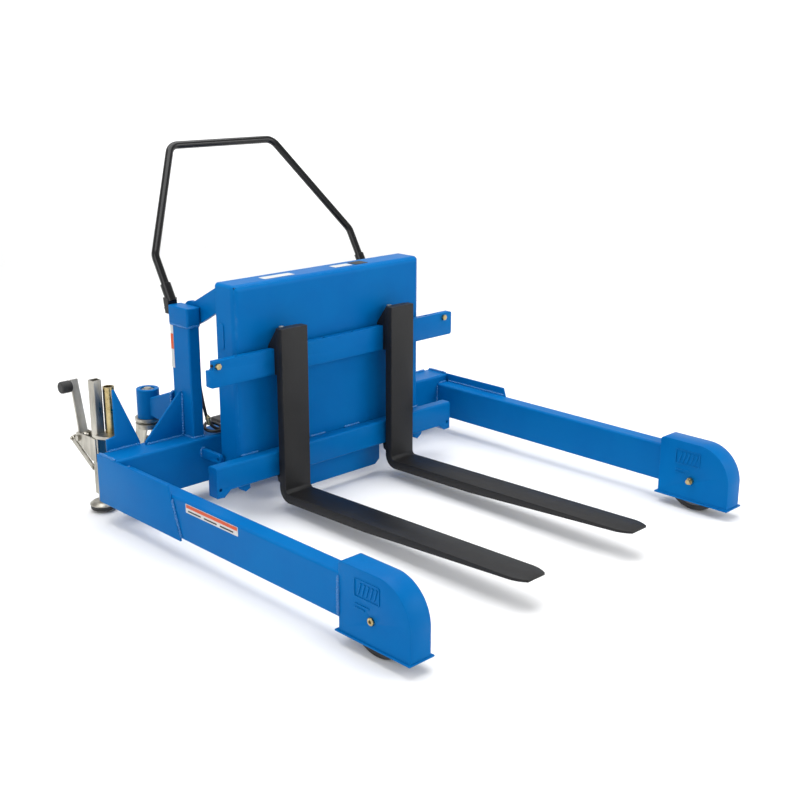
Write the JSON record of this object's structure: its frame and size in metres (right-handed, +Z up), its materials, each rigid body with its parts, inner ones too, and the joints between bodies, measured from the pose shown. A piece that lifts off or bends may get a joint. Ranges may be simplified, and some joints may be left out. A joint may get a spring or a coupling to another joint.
{
  "type": "portable fork container tilter",
  "caption": "Wheeled straddle chassis with a tilting fork carriage, hydraulic cylinders, push handle, swivel casters and a foot-operated floor lock.",
  "frame": {"origin": "on the floor, at the middle of the machine's width, level with the front third of the posts: the tilt axis passes 10 mm in front of it and 612 mm above it", "axes": "+X from the outrigger that carries the floor lock towards the other outrigger; -Y towards the fork tips and +Y towards the operator; +Z up"},
  "size_m": [1.472, 1.6707, 1.1197],
  "materials": {
    "blue_paint": "gloss powder coat",
    "fork_black": "satin black",
    "handle_black": "gloss black",
    "zinc_steel": "bright zinc plate",
    "yellow_zinc": "yellow zinc plate",
    "chrome_rod": "polished",
    "bronze": "sintered bronze",
    "tread_black": "matt",
    "hub_grey": "painted grey",
    "black_rubber": "matt",
    "motor_black": "satin",
    "block_alu": "machined"
  },
  "bodies": {
    "chassis": {"base_gussets": "blue_paint", "caster_housings": "blue_paint", "caster_kingpins": "zinc_steel", "cross_member": "blue_paint", "cylinder_base_lugs": "blue_paint", "cylinder_base_pins": "zinc_steel", "front_axle_bolts": "yellow_zinc", "handle_sockets": "handle_black", "hydraulic_hoses": "black_rubber", "left_outrigger": "blue_paint", "left_post": "blue_paint", "left_wheel_cover": "blue_paint", "lock_body": "zinc_steel", "lock_bracket": "zinc_steel", "lock_guide_tube": "yellow_zinc", "lock_pedal_pin": "zinc_steel", "oil_reservoir": "motor_black", "pivot_pins": "zinc_steel", "post_heads": "blue_paint", "power_unit_plate": "blue_paint", "pump_motor": "motor_black", "push_handle": "handle_black", "right_outrigger": "blue_paint", "right_post": "blue_paint", "right_wheel_cover": "blue_paint", "side_plates": "blue_paint", "socket_knobs": "handle_black", "valve_block": "block_alu"},
    "tilt_frame": {"back_pan": "blue_paint", "pan_ribs": "blue_paint", "tilt_arms": "blue_paint", "pivot_bushes": "bronze", "lever_cheeks": "blue_paint", "tilt_frame_bolts": "yellow_zinc", "upper_fork_bar": "blue_paint", "lower_fork_bar": "blue_paint", "skirt_plate": "blue_paint"},
    "left_fork_body": {"left_fork": "fork_black"},
    "right_fork_body": {"right_fork": "fork_black"},
    "left_latch_body": {"left_fork_latch": "zinc_steel"},
    "right_latch_body": {"right_fork_latch": "zinc_steel"},
    "left_front_wheel": {"left_front_tyre": "tread_black", "left_front_hub": "hub_grey"},
    "right_front_wheel": {"right_front_tyre": "tread_black", "right_front_hub": "hub_grey"},
    "left_caster_swivel": {"left_caster_yoke": "zinc_steel"},
    "right_caster_swivel": {"right_caster_yoke": "zinc_steel"},
    "left_caster_wheel": {"left_caster_tyre": "tread_black", "left_caster_hub": "hub_grey"},
    "right_caster_wheel": {"right_caster_tyre": "tread_black", "right_caster_hub": "hub_grey"},
    "left_barrel_body": {"left_cylinder_barrel": "motor_black"},
    "right_barrel_body": {"right_cylinder_barrel": "motor_black"},
    "left_rod_body": {"left_cylinder_rod": "chrome_rod"},
    "right_rod_body": {"right_cylinder_rod": "chrome_rod"},
    "lock_pedal_body": {"lock_pedal": "zinc_steel", "lock_pedal_grip": "black_rubber"},
    "lock_link_body": {"lock_link": "zinc_steel"},
    "lock_plunger_body": {"lock_plunger": "zinc_steel", "lock_pad": "black_rubber"}
  },
  "joints": [
    {"name": "carriage_tilt", "type": "hinge", "parent": "chassis", "child": "tilt_frame", "pos_m": [0, -0.01, 0.612], "axis": [-1, 0, 0], "range_deg": [0, 90]},
    {"name": "left_fork_shift", "type": "slide", "parent": "tilt_frame", "child": "left_fork_body", "axis": [1, 0, 0], "range_m": [-0.176, 0.17]},
    {"name": "right_fork_shift", "type": "slide", "parent": "tilt_frame", "child": "right_fork_body", "axis": [1, 0, 0], "range_m": [-0.17, 0.176]},
    {"name": "left_latch_drop", "type": "slide", "parent": "left_fork_body", "child": "left_latch_body", "axis": [0, 0, -1], "range_m": [0, 0.01]},
    {"name": "right_latch_drop", "type": "slide", "parent": "right_fork_body", "child": "right_latch_body", "axis": [0, 0, -1], "range_m": [0, 0.01]},
    {"name": "left_front_wheel_spin", "type": "hinge", "parent": "chassis", "child": "left_front_wheel", "pos_m": [-0.6935, -1.209, 0.1016], "axis": [1, 0, 0], "continuous": true},
    {"name": "left_caster_turn", "type": "hinge", "parent": "chassis", "child": "left_caster_swivel", "pos_m": [-0.425, 0.205, 0.2], "axis": [0, 0, 1], "continuous": true},
    {"name": "left_caster_spin", "type": "hinge", "parent": "left_caster_swivel", "child": "left_caster_wheel", "pos_m": [-0.425, 0.243, 0.0762], "axis": [1, 0, 0], "continuous": true},
    {"name": "left_cylinder_swing", "type": "hinge", "parent": "chassis", "child": "left_barrel_body", "pos_m": [-0.2, -0.14, 0.12], "axis": [1, 0, 0], "range_deg": [-0.1, 4.1]},
    {"name": "left_cylinder_stroke", "type": "slide", "parent": "left_barrel_body", "child": "left_rod_body", "axis": [0, 0.1531, 0.9882], "range_m": [-0.001, 0.127]},
    {"name": "right_front_wheel_spin", "type": "hinge", "parent": "chassis", "child": "right_front_wheel", "pos_m": [0.6935, -1.209, 0.1016], "axis": [1, 0, 0], "continuous": true},
    {"name": "right_caster_turn", "type": "hinge", "parent": "chassis", "child": "right_caster_swivel", "pos_m": [0.425, 0.205, 0.2], "axis": [0, 0, 1], "continuous": true},
    {"name": "right_caster_spin", "type": "hinge", "parent": "right_caster_swivel", "child": "right_caster_wheel", "pos_m": [0.425, 0.243, 0.0762], "axis": [1, 0, 0], "continuous": true},
    {"name": "right_cylinder_swing", "type": "hinge", "parent": "chassis", "child": "right_barrel_body", "pos_m": [0.2, -0.14, 0.12], "axis": [1, 0, 0], "range_deg": [-0.1, 4.1]},
    {"name": "right_cylinder_stroke", "type": "slide", "parent": "right_barrel_body", "child": "right_rod_body", "axis": [0, 0.1531, 0.9882], "range_m": [-0.001, 0.127]},
    {"name": "lock_pedal_swing", "type": "hinge", "parent": "chassis", "child": "lock_pedal_body", "pos_m": [-0.681, 0.186, 0.226], "axis": [-1, 0, 0], "range_deg": [-16, 5.3]},
    {"name": "lock_link_swing", "type": "hinge", "parent": "lock_pedal_body", "child": "lock_link_body", "pos_m": [-0.681, 0.246, 0.208], "axis": [-1, 0, 0], "range_deg": [-6.3, 18.9]},
    {"name": "lock_plunger_slide", "type": "slide", "parent": "chassis", "child": "lock_plunger_body", "axis": [0, 0, 1], "range_m": [-0.0077, 0.0231]}
  ],
  "couplings": [
    {"joint": "left_cylinder_swing", "follows": "carriage_tilt", "ratio": 0.044444},
    {"joint": "left_cylinder_stroke", "follows": "carriage_tilt", "m_per_rad": 0.08},
    {"joint": "right_cylinder_swing", "follows": "carriage_tilt", "ratio": 0.044444},
    {"joint": "right_cylinder_stroke", "follows": "carriage_tilt", "m_per_rad": 0.08},
    {"joint": "lock_link_swing", "follows": "lock_pedal_swing", "ratio": -1.175},
    {"joint": "lock_plunger_slide", "follows": "lock_pedal_swing", "m_per_rad": -0.0825}
  ]
}
